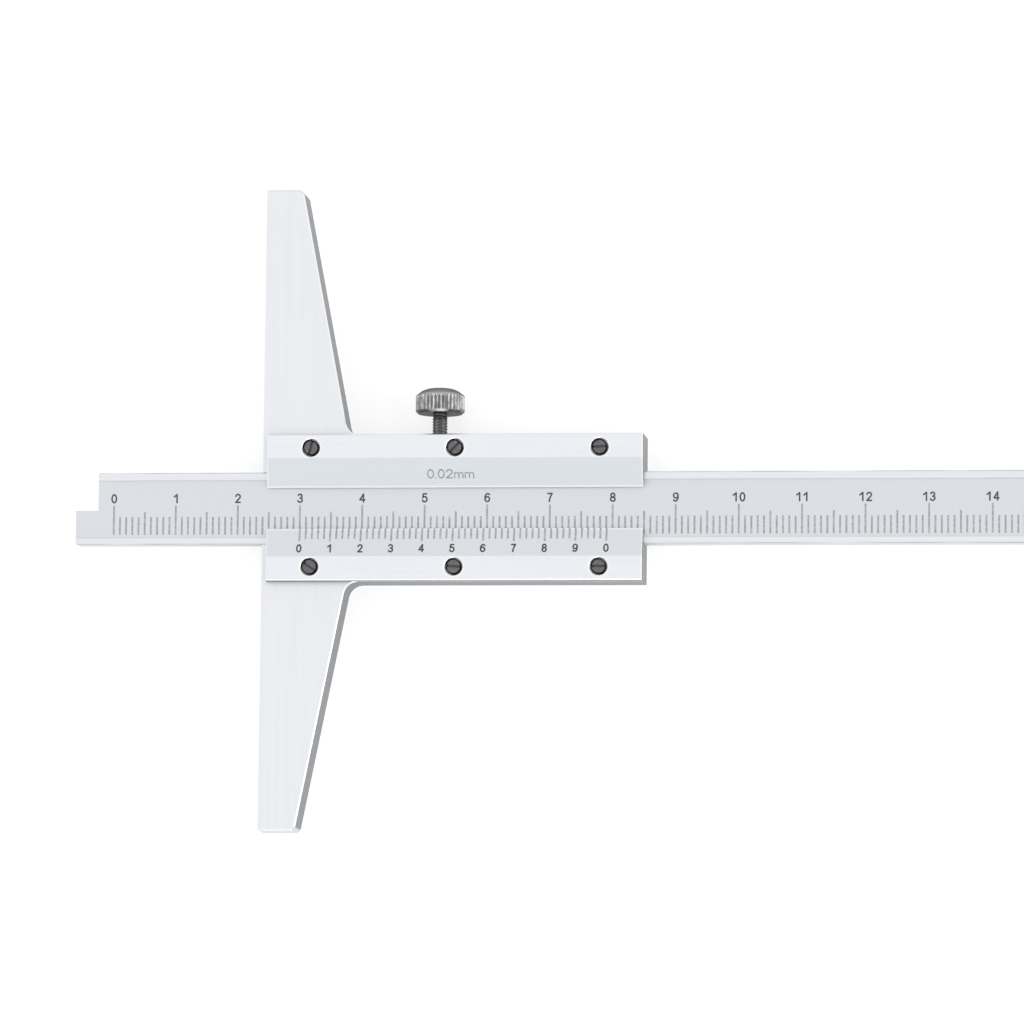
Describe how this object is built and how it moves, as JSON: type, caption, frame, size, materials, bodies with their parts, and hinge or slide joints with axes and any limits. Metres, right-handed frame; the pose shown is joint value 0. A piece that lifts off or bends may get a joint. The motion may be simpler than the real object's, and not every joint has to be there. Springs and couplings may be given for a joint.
{
  "type": "depth gauge",
  "caption": "Vernier depth gauge: a T-shaped measuring base carries a graduated beam that slides through it and is held by a knurled lock screw.",
  "frame": {"origin": "on the measuring face, at the middle of the beam's width, at the level of the base's back face", "axes": "+X along the beam, from its measuring tip towards its plain end; +Y across the beam towards the lock screw; +Z out of the face that carries the scale"},
  "size_m": [0.225, 0.1026, 0.0086],
  "materials": {
    "base_steel": "satin ground stainless steel",
    "plate_steel": "satin ground stainless steel with broken edges",
    "beam_steel": "matt chromed scale face between ground rails",
    "black_screw": "blackened steel, rubbed lighter on the face",
    "spring_steel": "blued spring steel",
    "pad_brass": "plain turned",
    "knob_steel": "bright turned steel, straight knurl"
  },
  "bodies": {
    "head": {"base_frame": "base_steel", "upper_plate": "plate_steel", "vernier_plate": "plate_steel", "upper_plate_screw_left": "black_screw", "upper_plate_screw_middle": "black_screw", "upper_plate_screw_right": "black_screw", "vernier_plate_screw_left": "black_screw", "vernier_plate_screw_middle": "black_screw", "vernier_plate_screw_right": "black_screw", "leaf_spring": "spring_steel"},
    "beam": {"beam": "beam_steel"},
    "lock_pad": {"lock_pad": "pad_brass"},
    "lock_screw": {"lock_screw": "knob_steel"}
  },
  "joints": [
    {"name": "beam_slide", "type": "slide", "parent": "head", "child": "beam", "axis": [-1, 0, 0], "range_m": [-0.03015, 0.11985]},
    {"name": "lock_travel", "type": "slide", "parent": "head", "child": "lock_pad", "axis": [0, 1, 0], "range_m": [-0.00011, 0.0009]},
    {"name": "lock_turn", "type": "hinge", "parent": "lock_pad", "child": "lock_screw", "pos_m": [0.0281, 0.01525, 0.00475], "axis": [0, 1, 0], "range_deg": [-91, 721]}
  ],
  "couplings": [
    {"joint": "lock_turn", "follows": "lock_travel", "rad_per_m": 13963}
  ]
}
